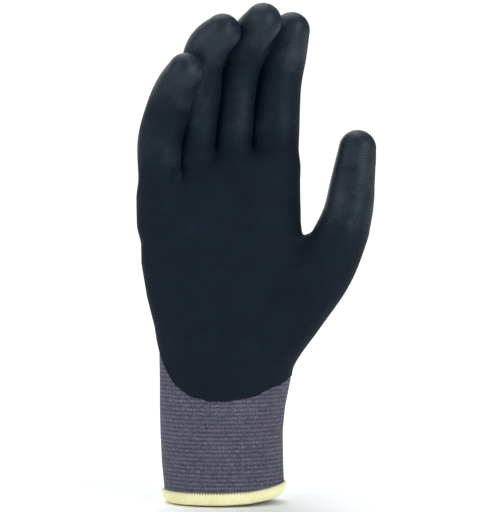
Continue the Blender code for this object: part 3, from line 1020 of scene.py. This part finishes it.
def hem_lift(x):
    """How far the hem's edge is raised at x: it curls up toward the thumb's side."""
    return np.interp(x, HEM_LIFT[:, 0], HEM_LIFT[:, 1])


def bell(x):
    return math.exp(-x * x)


def smooth_object(name, verts, faces, material):
    mesh = bpy.data.meshes.new(name)
    mesh.from_pydata(verts, [], faces)
    mesh.polygons.foreach_set("use_smooth", [True] * len(mesh.polygons))
    mesh.materials.append(material)
    obj = bpy.data.objects.new(name, mesh)
    bpy.context.collection.objects.link(obj)
    return obj


def make_hem():
    """Overlock stitches wrapped over the cuff's edge: upright threads and a looped upper line."""
    rows = 14
    outer = [
        (-HEM_OUT + HEM_ROUND * (k / rows) ** 4, HEM_TOP * (1 - k / rows)) for k in range(rows + 1)
    ]
    low = HEM_ROUND - HEM_OUT
    middle, half = (HEM_IN + low) / 2, (HEM_IN - low) / 2
    under = [(middle - half * math.cos(a), -0.5 * math.sin(a)) for a in np.linspace(0, math.pi, 7)[1:]]
    inner = [(HEM_IN, (HEM_TOP - 1.0) * k / 11) for k in range(1, 12)]
    profile = outer + under + inner
    last = len(profile) - 1
    columns = HEM_STITCHES * STITCH_COLUMNS
    verts, faces = [], []
    for c in range(columns):
        turn = 2 * math.pi * c / columns
        phase = math.pi * c / STITCH_COLUMNS
        thread = abs(math.cos(phase))
        for k, (offset, height) in enumerate(profile):
            level = height / HEM_TOP
            if k < len(outer):
                height += SCALLOP * (1 - abs(math.sin(phase))) * max(0, level - 0.72) / 0.28
                loops = TOP_LOOPS * bell((level - 0.93) / 0.06)
                bead = LOWER_BEAD * bell((level - 0.08) / 0.08)
                offset -= THREAD_OUT * thread + loops + bead
            elif k >= len(outer) + len(under):
                offset += THREAD_IN * thread
            if k == 0:
                offset += 0.75
            elif k == last:
                offset -= 0.5
            point, _ = ring_point(turn + THREAD_LEAN * level, height + HEM_BASE, offset)
            point.z += hem_lift(point.x)
            verts.append(tuple(point * MM))
    for c in range(columns):
        d = (c + 1) % columns
        for k in range(last):
            a, b = c * len(profile) + k, d * len(profile) + k
            faces.append((a, a + 1, b + 1, b))
    obj = smooth_object("hem_stitches", verts, faces, hem_material())
    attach(obj, "cuff")
    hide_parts("hem_overlock")


def make_elastic():
    """A covered elastic yarn, wound as a plain helix just inside the cuff."""
    sides, per_turn = 10, 96
    steps = ELASTIC_TURNS * per_turn
    verts, faces = [], []
    for i in range(steps + 1):
        turn = 2 * math.pi * i / per_turn
        height = ELASTIC_START + ELASTIC_PITCH * i / per_turn
        centre, out = ring_point(turn, height, ELASTIC_IN)
        for k in range(sides):
            angle = 2 * math.pi * k / sides
            radius = ELASTIC_RADIUS + 0.03 * math.cos(3 * angle + i * 1.1)
            way = out * math.cos(angle) + Vector((0, 0, 1)) * math.sin(angle)
            verts.append(tuple((centre + way * radius) * MM))
    for i in range(steps):
        for k in range(sides):
            j = (k + 1) % sides
            a, b = i * sides, (i + 1) * sides
            faces.append((a + k, a + j, b + j, b + k))
    faces.append(tuple(range(sides))[::-1])
    faces.append(tuple(steps * sides + k for k in range(sides)))
    obj = smooth_object("elastic_yarn", verts, faces, elastic_material())
    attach(obj, "cuff")
    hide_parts("cuff_elastic")


# ---- studio ---------------------------------------------------------------------------------------


def aim(obj, target):
    obj.rotation_euler = (Vector(target) - obj.location).to_track_quat("-Z", "Y").to_euler()


def soft_sun(name, way, strength, spread):
    """A sun that shines from the way given, as wide as spread in degrees."""
    light = bpy.data.lights.new(name, "SUN")
    light.energy = strength
    light.angle = math.radians(spread)
    light.color = (0.95, 0.98, 1.0)
    obj = bpy.data.objects.new(name, light)
    obj.location = way
    bpy.context.collection.objects.link(obj)
    aim(obj, (0, 0, 0))


def make_studio():
    floor = bpy.data.meshes.new("floor")
    size = FLOOR_SIZE
    corners = [(-size, -size, 0), (size, -size, 0), (size, size, 0), (-size, size, 0)]
    floor.from_pydata(corners, [], [(0, 1, 2, 3)])
    nodes = Nodes("pale_floor")
    nodes.shader.inputs["Base Color"].default_value = (0.92, 0.92, 0.93, 1)
    nodes.shader.inputs["Roughness"].default_value = 0.9
    nodes.shader.inputs["Specular IOR Level"].default_value = 0.1
    floor.materials.append(nodes.material)
    obj = bpy.data.objects.new("floor", floor)
    obj.location = (0, 0, -FLOOR_DROP)
    bpy.context.collection.objects.link(obj)

    world = bpy.data.worlds.new("studio")
    bpy.context.scene.world = world
    world.use_nodes = True
    tree = world.node_tree
    background = tree.nodes["Background"]
    seen = tree.nodes.new("ShaderNodeBackground")
    seen.inputs["Color"].default_value = (1, 1, 1, 1)
    seen.inputs["Strength"].default_value = 1.1
    background.inputs["Color"].default_value = (0.95, 0.97, 1.0, 1)
    background.inputs["Strength"].default_value = 0.25
    path = tree.nodes.new("ShaderNodeLightPath")
    mix = tree.nodes.new("ShaderNodeMixShader")
    tree.links.new(path.outputs["Is Camera Ray"], mix.inputs[0])
    tree.links.new(background.outputs[0], mix.inputs[1])
    tree.links.new(seen.outputs[0], mix.inputs[2])
    tree.links.new(mix.outputs[0], tree.nodes["World Output"].inputs["Surface"])

    soft_sun("key", (0.70, -0.62, 0.44), 1.2, 24)
    soft_sun("strip", (0.60, -0.80, -0.06), 2.4, 26)
    soft_sun("fill", (-1.0, -0.6, 0.4), 1.5, 60)
    soft_sun("top", (-0.1, 0.2, 1.0), 1.7, 50)
    soft_sun("back", (-0.4, 1.0, 0.6), 1.2, 70)


def make_camera():
    camera = bpy.data.cameras.new("camera")
    camera.sensor_fit = "HORIZONTAL"
    camera.sensor_width = 36
    camera.lens = CAMERA_DISTANCE * camera.sensor_width / PICTURE_WIDTH
    obj = bpy.data.objects.new("camera", camera)
    obj.location = (PICTURE_MIDDLE[0], -CAMERA_DISTANCE, PICTURE_MIDDLE[1])
    obj.rotation_euler = (math.pi / 2, 0, 0)
    bpy.context.collection.objects.link(obj)
    bpy.context.scene.camera = obj


make_glove()
make_hem()
make_elastic()
make_studio()
make_camera()
bpy.context.scene.view_settings.view_transform = "Standard"
